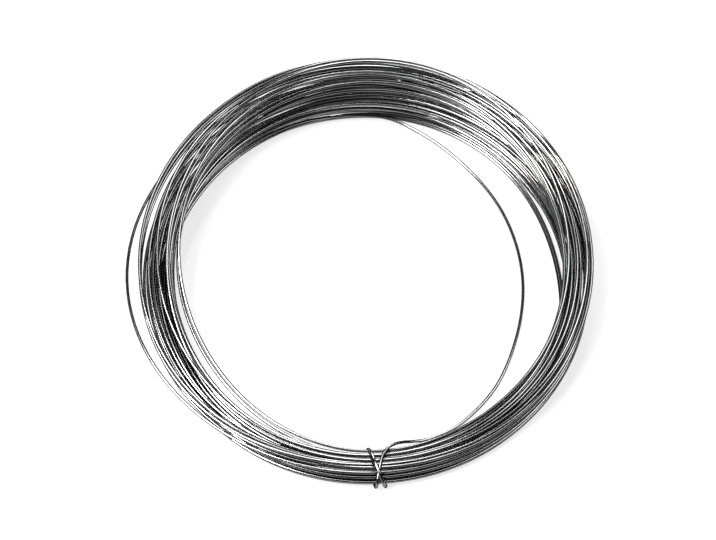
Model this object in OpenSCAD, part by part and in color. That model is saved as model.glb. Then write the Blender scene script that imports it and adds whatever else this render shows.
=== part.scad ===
// Small coil of craft wire, lying flat, with its own free end wrapped twice round it as a tie.
// Millimetres. +Z is up, the floor is z = 0, and the origin is on the floor in the middle of the coil.
// The tie is on the -Y side. From there the turns fan out, so the +Y side stands higher.

/* [Wire] */
// Diameter of the wire
wire_d = 0.6; // [0.4:0.1:0.6]

/* [Coil] */
// Diameter across the outside of the turns
coil_od = 86; // [85.8:0.1:86.4]
// Diameter of the open eye inside the turns
eye_d = 73; // [72.8:0.1:73.4]
// Height of the turns beside the tie
tie_side_h = 2.6; // [2.4:0.1:3]
// Height of the turns on the far side, where they fan out
fan_side_h = 15.4; // [10:0.1:16]
// Radius of the lower edges of the coil
edge_r = 0.9; // [0.5:0.1:1.2]

/* [Turns on the upper end] */
// Number of furrows between neighbouring turns
furrows = 9; // [1:1:9]
// Depth of each furrow
furrow_depth = 0.15; // [0.1:0.01:0.16]

/* [Tie] */
// Length of coil that is lifted over the tie
tie_hollow_w = 7; // [6:0.5:10]

/* [Hidden] */

wire_r = wire_d / 2;
coil_r = coil_od / 2;
eye_r = eye_d / 2;
band_w = coil_r - eye_r;
blank_h = fan_side_h + 1;
fan_angle = atan((fan_side_h - tie_side_h) / coil_od);
slope_eye_r = eye_r / cos(fan_angle);
slope_band_w = coil_r - slope_eye_r;
tie_x = 2;

// Centre line of the free end, from the turns it leaves on the +Y side, along the floor inside the eye
// and up to the tie.
loose_route = [
    [2, 38, 1.4], [10.6, 34.6, 0.8], [18.9, 27.7, 0.3], [25.4, 18.9, 0.3], [29.1, 9.2, 0.3],
    [30.2, -1, 0.3], [28.6, -11.6, 0.3], [24.5, -22, 0.3], [18, -29.7, 0.5], [12, -33.4, 1.3]
];
// Centre line of the tie: over the coil, round it, over it again across the first pass, and tucked under.
tie_route = [
    [8.8, -34.5, 2.1], [6.9, -35, 2.9], [5.4, -35.6, 3.5], [4.2, -36.4, 3.9], [3.4, -37.4, 4.05],
    [2.8, -38.6, 4], [2.5, -39.9, 3.85], [2.3, -41.1, 3.6], [2.1, -42.2, 3.2], [2, -43, 2.7],
    [1.9, -43.4, 2.05], [1.75, -43.4, 1.35], [1.6, -43, 0.75], [1.45, -42.3, 0.35], [1.2, -41.2, 0.3],
    [0.8, -39.8, 0.3], [0.5, -38.2, 0.3], [0.3, -37.2, 0.5], [0.2, -36.5, 1.1], [0.2, -36.2, 1.9],
    [0.35, -36.4, 2.8], [0.7, -37.2, 3.7], [1.1, -38.5, 4.3], [1.6, -39.9, 4.5], [2.1, -41.2, 4.3],
    [2.6, -42.3, 3.8], [3, -43.1, 3.1], [3.3, -43.5, 2.2], [3.5, -43.3, 1.3], [3.55, -42.7, 0.6]
];
steps = 5;
sides = 8;

function unit(v) = v / norm(v);

// Point at t, from 0 to 1, between the second and third of four points on a smooth curve
function smooth_point(a, b, c, d, t) =
    0.5 * (2 * b + (c - a) * t + (2 * a - 5 * b + 4 * c - d) * t * t + (3 * b - a - 3 * c + d) * t * t * t);

function smoothed(p) = [
    for (i = [0 : len(p) - 2], k = [0 : steps - 1])
        smooth_point(p[max(i - 1, 0)], p[i], p[i + 1], p[min(i + 2, len(p) - 1)], k / steps)
];

function direction(p, i) = unit(p[min(i + 1, len(p) - 1)] - p[max(i - 1, 0)]);

// One side direction for each ring, carried along the tube so that it doesn't twist
function side_directions(p, i, last) =
    i == len(p) ? [] :
    let (t = direction(p, i), u = unit(last - (last * t) * t))
    concat([u], side_directions(p, i + 1, u));

module tube(p, r) {
    u = side_directions(p, 0, [0, 0, 1]);
    points = [
        for (i = [0 : len(p) - 1], k = [0 : sides - 1])
            let (v = cross(direction(p, i), u[i]), a = 360 * k / sides)
            p[i] + r * (cos(a) * u[i] + sin(a) * v)
    ];
    walls = [
        for (i = [0 : len(p) - 2], k = [0 : sides - 1], half = [0, 1])
            let (a = i * sides + k, b = i * sides + (k + 1) % sides)
            half == 0 ? [a, a + sides, b + sides] : [a, b + sides, b]
    ];
    first_cap = [for (k = [0 : sides - 1]) k];
    last_cap = [for (k = [sides - 1 : -1 : 0]) (len(p) - 1) * sides + k];
    polyhedron(points, concat(walls, [first_cap, last_cap]), convexity = 10);
}

// Puts its children on the sloping upper end of the coil, with the slope's middle as their origin
module on_upper_end() {
    translate([0, -coil_r, tie_side_h])
        rotate([fan_angle, 0, 0])
            translate([0, coil_r / cos(fan_angle), 0])
                children();
}

module turned_ring() {
    rotate_extrude($fn = 180)
        union() {
            translate([eye_r, edge_r]) square([band_w, blank_h - edge_r]);
            translate([eye_r + edge_r, 0]) square([band_w - 2 * edge_r, blank_h]);
            translate([eye_r + edge_r, edge_r]) circle(edge_r, $fn = 48);
            translate([coil_r - edge_r, edge_r]) circle(edge_r, $fn = 48);
        }
}

module furrow(r) {
    translate([0, 0, wire_r - furrow_depth])
        rotate_extrude($fn = 180)
            translate([r, 0]) circle(wire_r, $fn = 24);
}

// All the turns as one turned solid with its bore, cut off at a slope because they fan out from the tie
module coil() {
    color([0.72, 0.73, 0.75])
        difference() {
            turned_ring();
            on_upper_end()
                translate([-coil_od, -coil_od, 0]) cube([2 * coil_od, 2 * coil_od, blank_h]);
            on_upper_end()
                for (i = [1 : furrows]) furrow(slope_eye_r + slope_band_w * i / (furrows + 1));
            translate([tie_x - tie_hollow_w / 2, -coil_r - 1, -1])
                cube([tie_hollow_w, band_w + 3, wire_d + 1.05]);
        }
}

// The last stretch of the same wire: loose inside the eye, then wrapped twice round the coil
module free_end() {
    color([0.80, 0.81, 0.83])
        tube(concat(smoothed(loose_route), [loose_route[len(loose_route) - 1]], tie_route), wire_r);
}

coil();
free_end();
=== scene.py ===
"""Small coil of silver-plated craft wire, tied round with its own free end."""

import math

import bpy
import numpy as np
from bpy.props import (FloatProperty, FloatVectorProperty, IntProperty,
                       PointerProperty)
from mathutils import Matrix, Vector


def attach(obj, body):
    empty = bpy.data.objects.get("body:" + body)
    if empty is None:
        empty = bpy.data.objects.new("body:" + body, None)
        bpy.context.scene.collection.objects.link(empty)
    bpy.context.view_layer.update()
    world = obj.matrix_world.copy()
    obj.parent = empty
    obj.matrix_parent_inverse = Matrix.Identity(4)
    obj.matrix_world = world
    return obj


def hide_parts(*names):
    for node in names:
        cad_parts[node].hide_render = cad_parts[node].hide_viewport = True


bl_info = {
    "name": "Craft wire coil",
    "version": (1, 0, 0),
    "blender": (4, 5, 0),
    "location": "3D View > Sidebar > Craft wire",
    "description": "Builds a tied coil of silver-plated craft wire and its studio stage",
    "category": "Add Mesh",
}

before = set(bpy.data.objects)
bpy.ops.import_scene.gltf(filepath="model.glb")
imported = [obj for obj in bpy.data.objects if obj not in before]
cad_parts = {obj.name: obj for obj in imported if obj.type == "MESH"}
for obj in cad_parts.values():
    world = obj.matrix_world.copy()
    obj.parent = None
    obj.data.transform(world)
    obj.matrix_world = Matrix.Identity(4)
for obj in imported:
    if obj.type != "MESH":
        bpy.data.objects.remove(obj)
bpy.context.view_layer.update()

# Lengths are in metres. The coil lies on the floor round the Z axis, with its tie on the -Y side, and its
# turns fan out towards the far side, +Y. Azimuths are seen from above, counted from +X towards +Y.

# Centre line of the free end: out of the turns on the far side, along the floor inside the eye, and up to
# the tie.
LOOSE_ROUTE = [
    (0.0020, 0.0380, 0.0014), (0.0106, 0.0346, 0.0008), (0.0189, 0.0277, 0.0003),
    (0.0254, 0.0189, 0.0003), (0.0291, 0.0092, 0.0003), (0.0302, -0.0010, 0.0003),
    (0.0286, -0.0116, 0.0003), (0.0245, -0.0220, 0.0003), (0.0180, -0.0297, 0.0005),
    (0.0120, -0.0334, 0.0013),
]
# Centre line of the tie: over the turns, round them, over them again across the first pass, tucked under.
TIE_ROUTE = [
    (0.00880, -0.0345, 0.00210), (0.00690, -0.0350, 0.00290), (0.00540, -0.0356, 0.00350),
    (0.00420, -0.0364, 0.00390), (0.00340, -0.0374, 0.00405), (0.00280, -0.0386, 0.00400),
    (0.00250, -0.0399, 0.00385), (0.00230, -0.0411, 0.00360), (0.00210, -0.0422, 0.00320),
    (0.00200, -0.0430, 0.00270), (0.00190, -0.0434, 0.00205), (0.00175, -0.0434, 0.00135),
    (0.00160, -0.0430, 0.00075), (0.00145, -0.0423, 0.00035), (0.00120, -0.0412, 0.00030),
    (0.00080, -0.0398, 0.00030), (0.00050, -0.0382, 0.00030), (0.00030, -0.0372, 0.00050),
    (0.00020, -0.0365, 0.00110), (0.00020, -0.0362, 0.00190), (0.00035, -0.0364, 0.00280),
    (0.00070, -0.0372, 0.00370), (0.00110, -0.0385, 0.00430), (0.00160, -0.0399, 0.00450),
    (0.00210, -0.0412, 0.00430), (0.00260, -0.0423, 0.00380), (0.00300, -0.0431, 0.00310),
    (0.00330, -0.0435, 0.00220), (0.00350, -0.0433, 0.00130), (0.00355, -0.0427, 0.00060),
]
ROUTE_STEPS = 12      # points in each span of the free end
LEAVES_TURNS = 6      # points of the last turn that the free end takes over

# Circles that the turns keep between, at the floor and at the top: radius, and how far the middle is moved
# right and towards the far side.
LOW_INNER = (0.0392, 0.0002, -0.0010)
LOW_OUTER = (0.0417, 0.0008, 0.0006)
HIGH_INNER = (0.0359, 0.0009, -0.0003)
HIGH_OUTER = (0.0432, -0.0003, 0.0013)

# A turn's place in the coil is its rank, 0 low and 1 high, and its width, 0 inside and 1 outside.
RANK_START = 0.14     # share of the way down from the top at which the winding begins
OVERSHOOT = 0.2       # how far past each side the winding would go, so that it stays there for a while
FAR_FALLOFF = 1.2     # power of the azimuth's sine with which the far side's own rule takes over
FAR_WIDTH = 0.12      # width of the lowest turns on the far side
FAR_SLANT = 0.75      # how much further out the highest turns lie there
FAR_SPREAD = 0.35     # how much of the winding's own width is left there
# Small wanderings: changes of course in each turn, and their size. The lean is an angle in radians.
RANK_WANDER = (3, 0.02)
WIDTH_WANDER = (2.3, 0.08)
LEAN_WANDER = (0.8, 0.15)
RADIUS_WANDER = (5, 0.00008)

# Turns that stand away from the rest: azimuth of the middle and reach each way in degrees, which turn it
# is, and the distance from the axis and the height it reaches.
LOOSE_TURNS = [
    (88, 30, 0, 0.0404, 0.0092), (78, 36, 25, 0.0428, 0.0142), (176, 66, 18, 0.0461, 0.0056),
    (222, 52, 25, 0.0341, 0.0042), (226, 54, 20, 0.0344, 0.0040), (13, 50, 11, 0.0360, 0.0003),
    (13, 50, 12, 0.0362, 0.0009), (30, 62, 10, 0.0381, 0.0006), (28, 62, 38, 0.0386, 0.0012),
    (26, 60, 13, 0.0379, 0.0019), (30, 58, 36, 0.0386, 0.0027), (34, 54, 35, 0.0374, 0.0033),
]
# Gaps between turns: azimuth of the middle and reach each way in degrees, the distance from the axis at
# which the gap opens, and how far the turns on each side move off.
GAPS = [(201, 20, 0.0417, 0.0007), (222, 30, 0.0357, 0.0002)]

# The tie's loop: azimuth, distance of its middle from the axis, height of its middle, half its width and
# half its height inside, and how much lower it is for each metre further out.
TIE_AZIMUTH = math.radians(-87)
TIE_RADIUS = 0.03985
TIE_MIDDLE = 0.0021
TIE_HALF_WIDTH = 0.0030
TIE_HALF_HEIGHT = 0.0012
TIE_SLOPE = 0.08
# How far the turns inside the tie lie from its middle: inwards and up by their rank, outwards by width.
TIED_INWARDS = 0.0016
TIED_OUTWARDS = 0.0013
TIED_RISE = 0.0008
# How many degrees to each side of the tie gather its turns, lift them over it and keep them inside it.
GATHER_REACH = 34
LIFT_REACH = 9
SQUEEZE_REACH = 6

# How the turns settle. The pull back to the planned place ends after a share of the rounds.
ROUNDS = 110
SPACING = 1.02        # diameters between the middles of turns that touch
PUSH = 0.45           # share of an overlap that each of the two turns gives way in a round
PULL_BACK = 0.06      # share of the way back to the planned place in a round
PULL_ROUNDS = 0.7     # share of the rounds that have this pull
LIFT = 1.03           # diameters by which the tie lifts the turns above it
SMOOTHING = 0.4       # share of the way to the middle of its neighbours that each point moves
LAST_ROUNDS = 12      # rounds of smoothing alone, at the end
LAST_SMOOTHING = 0.5
# Where the floor shows between turns on the far side: the angle above the floor at which the camera sees
# them, how far each slit closes in a round, how much the first, second and further turns beside it move,
# and the spacing in diameters that leaves no slit. The closing grows with the sine of the azimuth, from
# nothing at SLIT_START / SLIT_GROWTH.
FAR_VIEW = math.radians(56)
SLIT_PULL = 0.45
SLIT_SHARES = (1, 0.8, 0.6, 0.4, 0.2)
SLIT_SPACING = 0.95
SLIT_GROWTH = 2.5
SLIT_START = 1.25

PINCH = 0.25          # width of the wire's cut ends, as a share of its own

# Finish of the plating: how often the draw lines and the tarnish patches change in each metre of wire, and
# how often the lines change across it.
LINES_ALONG = 60
PATCHES_ALONG = 70
LINES_ACROSS = 3
TARNISH_FROM = 0.42   # on the patches' scale from 0 to 1, where the tarnish starts
TARNISH_FULL = 0.68   # and where it is full
TARNISH_ROUGHNESS = 0.08
LINE_ROUGHNESS = 0.05
LINE_BUMP = 0.08
LINE_DEPTH = 0.00002

FLOOR_SIZE = 6.0
FLOOR_GLOW = 0.74     # what makes the floor white to the camera and in the metal, on top of its light
WORLD_LIGHT = 0.02
# Soft boxes: name, place, direction of one side, length of that side and of the other, power in watts.
LAMPS = [
    ("key", (-0.62, -0.18, 1.12), (0.573, 0.637, 0.463), 1.00, 0.50, 50),
    ("back", (0.05, 1.00, 0.68), (1, 0, 0), 0.50, 0.60, 13),
    ("top", (0.0, 0.29, 1.27), (1, 0, 0), 0.80, 0.35, 3.2),
    ("right", (0.64, 0.12, 1.10), (-0.745, 0.43, 0.388), 0.70, 0.54, 7.5),
]


class WireSettings(bpy.types.PropertyGroup):
    """Sizes and finish of the wire."""
    diameter: FloatProperty(name="Diameter", description="Thickness of the wire", default=0.0006,
                            min=0.0002, unit="LENGTH", precision=5)
    turns: IntProperty(name="Turns", description="Turns in the coil", default=39, min=3)
    layers: FloatProperty(name="Layers", description="Times the winding goes up or down the coil",
                          default=2.94, min=1)
    sweep_turns: FloatProperty(name="Sweep", description="Turns taken to cross from side to side",
                               default=2.33, min=0.5)
    crowding: FloatProperty(name="Crowding", description="Above 1, more of the turns lie low", default=0.89,
                            min=0.2)
    seed: IntProperty(name="Winding seed", description="Chooses the small wanderings of the turns",
                      default=2383)
    points: IntProperty(name="Points a turn", description="Centre line points in each turn",
                        default=120, min=24)
    sides: IntProperty(name="Sides", description="Flats around the wire", default=14, min=6)
    fan_height: FloatProperty(name="Fan height", description="Height of the top turn opposite the tie",
                              default=0.0148, unit="LENGTH", precision=4)
    tie_height: FloatProperty(name="Tie height", description="Height of the top turn beside the tie",
                              default=0.0036, unit="LENGTH", precision=4)
    silver: FloatVectorProperty(name="Silver", description="Colour of the bright plating",
                                subtype="COLOR", default=(0.27, 0.27, 0.27), min=0, max=1)
    tarnish: FloatVectorProperty(name="Tarnish", description="Colour where the plating has dulled",
                                 subtype="COLOR", default=(0.09, 0.09, 0.09), min=0, max=1)
    roughness: FloatProperty(name="Roughness", description="Roughness of the bright plating",
                             subtype="FACTOR", default=0.10, min=0, max=1)


class StageSettings(bpy.types.PropertyGroup):
    """Floor, light and camera."""
    floor_colour: FloatVectorProperty(name="Floor", description="Colour of the floor", subtype="COLOR",
                                      default=(0.145, 0.145, 0.145), min=0, max=1)
    elevation: FloatProperty(name="Camera elevation", description="How steeply the camera looks down",
                             default=math.radians(60), subtype="ANGLE")
    distance: FloatProperty(name="Camera distance", description="From the camera to the floor it looks at",
                            default=0.45, unit="LENGTH")
    lens: FloatProperty(name="Lens", description="Focal length in millimetres", default=116.96)
    sensor: FloatProperty(name="Sensor", description="Width of the camera's sensor in millimetres",
                          default=36)
    aim: FloatVectorProperty(name="Aim", description="Point on the floor that the camera looks at",
                             subtype="TRANSLATION", unit="LENGTH", default=(-0.00155, 0.00324, 0.0))


# Shapes ---------------------------------------------------------------------------------------------

def smooth_route(points, steps):
    """Points along the smooth curve through the given points, steps to each span."""
    p = np.array(points, float)
    p = np.vstack([p[:1], p, p[-1:]])
    t = np.linspace(0, 1, steps, endpoint=False)[:, None]
    spans = []
    for a, b, c, d in zip(p[:-3], p[1:-2], p[2:-1], p[3:]):
        spans.append(0.5 * (2 * b + (c - a) * t + (2 * a - 5 * b + 4 * c - d) * t ** 2
                            + (3 * b - a - 3 * c + d) * t ** 3))
    return np.vstack(spans + [p[-1:]])


def even_spacing(path, gap):
    """The same path with points about gap apart."""
    along = np.r_[0, np.cumsum(np.linalg.norm(np.diff(path, axis=0), axis=1))]
    at = np.linspace(0, along[-1], max(2, int(round(along[-1] / gap)) + 1))
    return np.stack([np.interp(at, along, path[:, k]) for k in range(3)], axis=1)


def circle(azimuth, guide):
    """Distance from the coil's axis to a circle whose middle is moved right and towards the far side."""
    radius, right, far = guide
    return radius + right * np.cos(azimuth) + far * np.sin(azimuth)


def wander(rng, turn, knots_a_turn, size):
    """A smooth random drift along the wire."""
    x = turn * knots_a_turn
    knots = rng.normal(0, size, int(x[-1]) + 2)
    i = np.floor(x).astype(int)
    f = x - i
    f = f * f * (3 - 2 * f)
    return knots[i] * (1 - f) + knots[i + 1] * f


def angle_between(a, b):
    """The smaller angle between two directions."""
    return np.abs((a - b + math.pi) % (2 * math.pi) - math.pi)


def near_tie(azimuth, reach):
    """1 at the tie, falling off smoothly over reach degrees to each side."""
    return np.exp(-(angle_between(azimuth, TIE_AZIMUTH) / math.radians(reach)) ** 2)


def hump(x):
    """1 where x is 0, falling off smoothly to nothing where it is 1 or -1."""
    return np.cos(np.clip(x, -1, 1) * math.pi / 2) ** 2


def plan_turns(w, azimuth, turn):
    """Where each point of the coil would lie, as distance from the axis and height, before contact."""
    rng = np.random.default_rng(w.seed)
    rank = np.abs((turn / w.turns * w.layers + RANK_START) % 2 - 1) ** w.crowding
    rank = np.clip(rank + wander(rng, turn, *RANK_WANDER), 0, 1)
    sweep = np.abs((turn / w.sweep_turns) % 2 - 1)
    width = np.clip((1 + 2 * OVERSHOOT) * sweep - OVERSHOOT + wander(rng, turn, *WIDTH_WANDER), 0, 1)
    far = np.clip(np.sin(azimuth), 0, 1) ** FAR_FALLOFF
    width_far = np.clip(FAR_WIDTH + FAR_SLANT * rank + FAR_SPREAD * (width - 0.5), 0, 1)
    width += far * (width_far - width)
    low = (1 - width) * circle(azimuth, LOW_INNER) + width * circle(azimuth, LOW_OUTER)
    high = (1 - width) * circle(azimuth, HIGH_INNER) + width * circle(azimuth, HIGH_OUTER)
    lean = wander(rng, turn, *LEAN_WANDER)
    top = w.tie_height + (w.fan_height - w.tie_height) * (1 + np.sin(azimuth + lean)) / 2
    radius = (1 - rank) * low + rank * high + wander(rng, turn, *RADIUS_WANDER)
    bottom = w.diameter / 2
    height = bottom + rank * (top - bottom)
    for middle, half_width, number, target_radius, target_height in LOOSE_TURNS:
        along = (turn - number) * 360 - (90 - middle) % 360
        share = hump(along / half_width)
        radius += share * (target_radius - radius)
        height += share * (target_height - height)
    for middle, half_width, opens_at, size in GAPS:
        off = angle_between(azimuth, math.radians(middle)) / math.radians(half_width)
        radius += np.sign(radius - opens_at) * size * hump(off)
    tied = near_tie(azimuth, GATHER_REACH)
    tied_radius = TIE_RADIUS - TIED_INWARDS * (2 * rank - 1) + TIED_OUTWARDS * (2 * width - 1)
    tied_height = TIE_MIDDLE + TIED_RISE * (2 * rank - 1)
    radius = (1 - tied) * radius + tied * tied_radius
    height = (1 - tied) * height + tied * tied_height
    return radius, height


def squeeze(azimuth, r, z):
    """Keeps the turns inside the tie, whose loop has a rounded oblong section that leans a little."""
    middle = TIE_MIDDLE - TIE_SLOPE * (r - TIE_RADIUS)
    across = (r - TIE_RADIUS) / TIE_HALF_WIDTH
    up = (z - middle) / TIE_HALF_HEIGHT
    outside = np.maximum((np.abs(across) ** 3 + np.abs(up) ** 3) ** (1 / 3), 1)
    near = near_tie(azimuth, SQUEEZE_REACH)
    r_in = TIE_RADIUS + TIE_HALF_WIDTH * across / outside
    z_in = middle + TIE_HALF_HEIGHT * up / outside
    return (1 - near) * r + near * r_in, (1 - near) * z + near * z_in


def close_slits(w, azimuth, r, z):
    """Draws the turns of the far side together where the floor would show between them from the camera."""
    far = np.sin(azimuth)
    seen = r * (1 - (1 - math.sin(FAR_VIEW)) * far ** 2) + math.cos(FAR_VIEW) * z * far
    order = np.argsort(seen, axis=0)
    gap = np.diff(np.take_along_axis(seen, order, axis=0), axis=0)
    slit = np.clip(gap - SLIT_SPACING * w.diameter, 0, None)
    pull = SLIT_PULL * slit * np.clip(SLIT_GROWTH * far[1:] - SLIT_START, 0, 1)
    move = np.zeros_like(r)
    for k, share in enumerate(SLIT_SHARES):
        move[:len(pull) - k] += share * pull[k:]
        move[k + 1:] -= share * pull[:len(pull) - k]
    back = np.argsort(order, axis=0)
    return r + np.take_along_axis(move, back, axis=0)


def smooth_along(values, share):
    """Moves each value part of the way to the middle of its two neighbours."""
    values[1:-1] += share * ((values[:-2] + values[2:]) / 2 - values[1:-1])


def settle_turns(w, azimuth, radius, height):
    """Pushes overlapping turns apart, round by round, and smooths each one along its length."""
    shape = (w.turns, w.points)
    start_r, start_z = radius.reshape(shape), height.reshape(shape)
    r, z = start_r.copy(), start_z.copy()
    station = azimuth.reshape(shape)
    floor = w.diameter * (0.5 + LIFT * near_tie(station, LIFT_REACH))
    a, b = np.triu_indices(w.turns, 1)
    for k in range(ROUNDS):
        pulled_back = k < PULL_ROUNDS * ROUNDS
        dr, dz = r[a] - r[b], z[a] - z[b]
        apart = np.hypot(dr, dz) + 1e-9
        push = np.clip(SPACING * w.diameter - apart, 0, None) * PUSH / apart
        for values, step in ((r, push * dr), (z, push * dz)):
            np.add.at(values, a, step)
            np.add.at(values, b, -step)
        if pulled_back:
            r += PULL_BACK * (start_r - r)
            z += PULL_BACK * (start_z - z)
        for values in (r, z):
            for repeat in range(1 if pulled_back else 2):
                smooth_along(values.reshape(-1), SMOOTHING)
        r = close_slits(w, station, r, z)
        r, z = squeeze(station, r, z)
        np.maximum(z, floor, out=z)
    for repeat in range(LAST_ROUNDS):
        smooth_along(r.reshape(-1), LAST_SMOOTHING)
        smooth_along(z.reshape(-1), LAST_SMOOTHING)
    return r.reshape(-1), z.reshape(-1)


def wire_path(w):
    """Centre line of the whole wire, from its first end to the end of the tie."""
    k = np.arange(w.turns * w.points)
    azimuth = math.pi / 2 - 2 * math.pi * k / w.points
    radius, height = settle_turns(w, azimuth, *plan_turns(w, azimuth, k / w.points))
    coil = np.stack([radius * np.cos(azimuth), radius * np.sin(azimuth), height], axis=1)
    leaving = [tuple(coil[-2 * LEAVES_TURNS]), tuple(coil[-LEAVES_TURNS])]
    loose = smooth_route(leaving + LOOSE_ROUTE + TIE_ROUTE, ROUTE_STEPS)[ROUTE_STEPS:]
    return np.vstack([coil[:-LEAVES_TURNS], even_spacing(loose, w.diameter)])


def extend_ends(path, length):
    """The same path with one more point beyond each end, in line with it."""
    before, beyond = path[0] - path[1], path[-1] - path[-2]
    return np.vstack([path[:1] + length * before / np.linalg.norm(before), path,
                      path[-1:] + length * beyond / np.linalg.norm(beyond)])


def carried_sides(tangent):
    """One direction square to each tangent, carried along the path so that it doesn't twist."""
    side = np.empty_like(tangent)
    carried = np.array([0.0, 0.0, 1.0])
    for i, t in enumerate(tangent):
        carried = carried - carried.dot(t) * t
        carried /= np.linalg.norm(carried)
        side[i] = carried
    return side


def tube(name, path, radius, sides):
    """A closed round tube along path, pinched at both ends. Its UV map is once round and metres along."""
    path = extend_ends(path, radius)
    steps = np.diff(path, axis=0)
    tangent = np.vstack([steps[:1], steps[:-1] + steps[1:], steps[-1:]])
    tangent /= np.linalg.norm(tangent, axis=1)[:, None]
    side = carried_sides(tangent)
    other = np.cross(tangent, side)
    side[[0, -1]] *= PINCH
    angle = 2 * math.pi * np.arange(sides) / sides
    rings = (path[:, None] + radius * (np.cos(angle)[None, :, None] * side[:, None]
                                       + np.sin(angle)[None, :, None] * other[:, None]))
    n = len(path)
    ring, k = np.meshgrid(np.arange(n - 1), np.arange(sides), indexing="ij")
    a = ring * sides + k
    b = ring * sides + (k + 1) % sides
    quads = np.stack([a, b, b + sides, a + sides], axis=-1).reshape(-1, 4)
    caps = [list(range(sides - 1, -1, -1)), list(range((n - 1) * sides, n * sides))]
    mesh = bpy.data.meshes.new(name)
    mesh.from_pydata(rings.reshape(-1, 3).tolist(), [], quads.tolist() + caps)
    along = np.r_[0, np.cumsum(np.linalg.norm(steps, axis=1))]
    across = np.stack([k, k + 1, k + 1, k], axis=-1) / sides
    down = np.stack([along[ring], along[ring], along[ring + 1], along[ring + 1]], axis=-1)
    uv = np.stack([across, down], axis=-1).reshape(-1, 2)
    cap_uv = [(0.5, along[0])] * sides + [(0.5, along[-1])] * sides
    layer = mesh.uv_layers.new(name="WireUV")
    layer.data.foreach_set("uv", np.vstack([uv, cap_uv]).ravel())
    smooth = np.ones(len(mesh.polygons), bool)
    smooth[-len(caps):] = False
    mesh.polygons.foreach_set("use_smooth", smooth)
    mesh.update()
    piece = bpy.data.objects.new(name, mesh)
    bpy.context.scene.collection.objects.link(piece)
    return piece


# Materials ------------------------------------------------------------------------------------------

class Value:
    """A number on a socket. Sums and products of values add Math nodes."""

    def __init__(self, tree, socket):
        self.tree = tree
        self.socket = socket

    def math(self, operation, *others):
        node = self.tree.nodes.new("ShaderNodeMath")
        node.operation = operation
        for i, term in enumerate((self,) + others):
            if isinstance(term, Value):
                self.tree.links.new(term.socket, node.inputs[i])
            else:
                node.inputs[i].default_value = term
        return Value(self.tree, node.outputs[0])

    def __add__(self, other):
        return self.math("ADD", other)

    def __mul__(self, other):
        return self.math("MULTIPLY", other)

    __radd__ = __add__
    __rmul__ = __mul__

    def maximum(self, other):
        return self.math("MAXIMUM", other)


class Shader:
    """A new material and a short way to add its nodes."""

    def __init__(self, name):
        self.material = bpy.data.materials.new(name)
        self.material.use_nodes = True
        self.tree = self.material.node_tree
        self.surface = self.tree.nodes["Principled BSDF"]

    def add(self, kind, settings=None, inputs=None):
        node = self.tree.nodes.new(kind)
        for key, value in (settings or {}).items():
            setattr(node, key, value)
        self.set(node, inputs or {})
        return node

    def set(self, node, inputs):
        for key, value in inputs.items():
            if isinstance(value, Value):
                self.tree.links.new(value.socket, node.inputs[key])
            elif isinstance(value, bpy.types.NodeSocket):
                self.tree.links.new(value, node.inputs[key])
            else:
                node.inputs[key].default_value = value

    def value(self, socket):
        return Value(self.tree, socket)

    def noise(self, x, y, z, detail):
        """Cloudy noise from about 0 to 1, read at a place given by three values."""
        place = self.add("ShaderNodeCombineXYZ", inputs={"X": x, "Y": y, "Z": z})
        cloud = self.add("ShaderNodeTexNoise", inputs={"Vector": place.outputs["Vector"], "Scale": 1.0,
                                                       "Detail": detail})
        return cloud.outputs["Fac"]


def plated_wire(w):
    """Bright silver plating with fine draw lines along the wire and slow patches of tarnish."""
    s = Shader("silver_plating")
    uv = s.add("ShaderNodeUVMap", {"uv_map": "WireUV"})
    parts = s.add("ShaderNodeSeparateXYZ", inputs={"Vector": uv.outputs["UV"]})
    turn = s.value(parts.outputs["X"]) * (2 * math.pi)
    along = s.value(parts.outputs["Y"])
    round_x = turn.math("COSINE")
    round_y = turn.math("SINE")
    line = s.value(s.noise(round_x * LINES_ACROSS, round_y * LINES_ACROSS, along * LINES_ALONG, 1.0))
    patches = s.noise(round_x, round_y, along * PATCHES_ALONG, 2.0)
    dull = s.add("ShaderNodeMapRange", inputs={"Value": patches, "From Min": TARNISH_FROM,
                                               "From Max": TARNISH_FULL}).outputs["Result"]
    # Sockets 0, 6 and 7 are the factor and the two colours. A black tint keeps the flanks from whitening.
    colour = s.add("ShaderNodeMix", {"data_type": "RGBA"}, {0: dull, 6: (*w.silver, 1), 7: (*w.tarnish, 1)})
    bump = s.add("ShaderNodeBump", inputs={"Strength": LINE_BUMP, "Distance": LINE_DEPTH, "Height": line})
    roughness = w.roughness + TARNISH_ROUGHNESS * s.value(dull) + LINE_ROUGHNESS * line
    s.set(s.surface, {"Base Color": colour.outputs[2], "Metallic": 1.0, "Specular Tint": (0.0, 0.0, 0.0, 1),
                      "Roughness": roughness, "Normal": bump.outputs["Normal"]})
    return s.material


def floor_finish(colour):
    """A pale floor that the camera and the metal see as white, less the shadow on it."""
    s = Shader("pale_floor")
    s.set(s.surface, {"Base Color": (*colour, 1), "Roughness": 0.9, "Specular IOR Level": 0.0})
    rays = s.add("ShaderNodeLightPath")
    seen = (s.value(rays.outputs["Is Camera Ray"]).maximum(s.value(rays.outputs["Is Glossy Ray"]))
            .maximum(s.value(rays.outputs["Is Transmission Ray"])))
    s.set(s.surface, {"Emission Color": (1, 1, 1, 1), "Emission Strength": FLOOR_GLOW * seen})
    return s.material


# Operators ------------------------------------------------------------------------------------------

class CRAFTWIRE_OT_wire(bpy.types.Operator):
    """Winds the coil and ties it with its free end, as one length of wire."""
    bl_idname = "craft_wire.wire"
    bl_label = "Wire"

    def execute(self, context):
        w = context.scene.craft_wire
        path = wire_path(w)
        wire = tube("craft_wire", path, w.diameter / 2, w.sides)
        wire.data.materials.append(plated_wire(w))
        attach(wire, "root")
        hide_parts("coil", "free_end")
        return {"FINISHED"}


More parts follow.
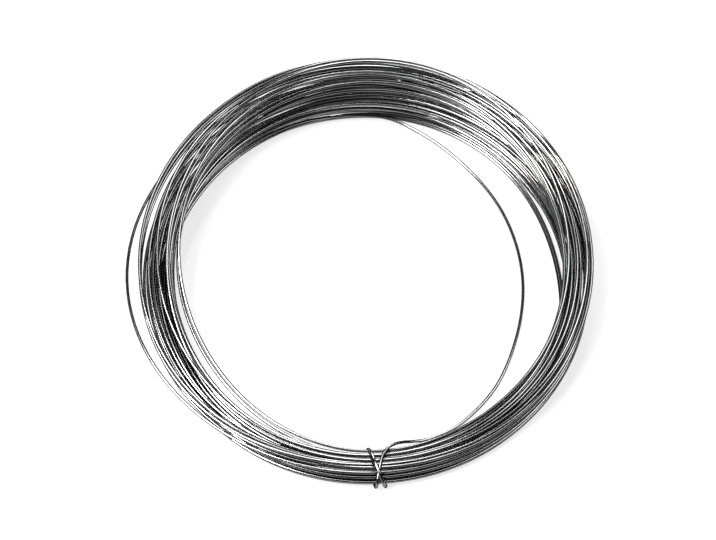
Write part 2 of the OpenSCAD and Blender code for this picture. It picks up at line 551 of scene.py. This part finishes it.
class CRAFTWIRE_OT_stage(bpy.types.Operator):
    """Adds the floor, the light and the camera."""
    bl_idname = "craft_wire.stage"
    bl_label = "Stage"

    def execute(self, context):
        st = context.scene.craft_wire_stage
        bpy.ops.object.select_all(action="DESELECT")
        bpy.ops.mesh.primitive_plane_add(size=FLOOR_SIZE, location=(0, 0, 0))
        floor = context.active_object
        floor.name = "floor"
        floor.data.materials.append(floor_finish(st.floor_colour))
        self.add_camera(context.scene, st)
        for lamp in LAMPS:
            self.add_lamp(context.scene, *lamp)
        self.light_world(context.scene)
        return {"FINISHED"}

    def add_camera(self, scene, st):
        data = bpy.data.cameras.new("camera")
        data.lens = st.lens
        data.sensor_width = st.sensor
        data.clip_start = 0.01
        camera = bpy.data.objects.new("camera", data)
        scene.collection.objects.link(camera)
        away = Vector((0, -math.cos(st.elevation), math.sin(st.elevation)))
        camera.location = Vector(st.aim) + st.distance * away
        camera.rotation_euler = (-away).to_track_quat("-Z", "Y").to_euler()
        scene.camera = camera

    def add_lamp(self, scene, name, place, along, length, width, power):
        """A soft box that faces the middle of the floor, with one side as near to along as that allows."""
        data = bpy.data.lights.new(name, "AREA")
        data.shape = "RECTANGLE"
        data.size = length
        data.size_y = width
        data.energy = power
        lamp = bpy.data.objects.new(name, data)
        scene.collection.objects.link(lamp)
        back = Vector(place).normalized()
        up = back.cross(Vector(along)).normalized()
        turn = Matrix((up.cross(back), up, back)).transposed()
        lamp.matrix_world = Matrix.Translation(place) @ turn.to_4x4()

    def light_world(self, scene):
        world = bpy.data.worlds.new("studio")
        scene.world = world
        world.use_nodes = True
        background = world.node_tree.nodes["Background"]
        background.inputs["Color"].default_value = (1, 1, 1, 1)
        background.inputs["Strength"].default_value = WORLD_LIGHT
        scene.view_settings.view_transform = "Standard"


class CRAFTWIRE_PT_panel(bpy.types.Panel):
    """Lists the pieces and the stage."""
    bl_idname = "CRAFTWIRE_PT_panel"
    bl_label = "Craft wire"
    bl_space_type = "VIEW_3D"
    bl_region_type = "UI"
    bl_category = "Craft wire"

    def draw(self, context):
        column = self.layout.column()
        for operator in (CRAFTWIRE_OT_stage, CRAFTWIRE_OT_wire):
            column.operator(operator.bl_idname)


CLASSES = (WireSettings, StageSettings, CRAFTWIRE_OT_stage, CRAFTWIRE_OT_wire, CRAFTWIRE_PT_panel)


def register():
    for cls in CLASSES:
        bpy.utils.register_class(cls)
    bpy.types.Scene.craft_wire = PointerProperty(type=WireSettings)
    bpy.types.Scene.craft_wire_stage = PointerProperty(type=StageSettings)


def unregister():
    del bpy.types.Scene.craft_wire_stage
    del bpy.types.Scene.craft_wire
    for cls in reversed(CLASSES):
        bpy.utils.unregister_class(cls)


def main():
    register()
    bpy.ops.craft_wire.stage()
    bpy.ops.craft_wire.wire()


if __name__ == "__main__":
    main()
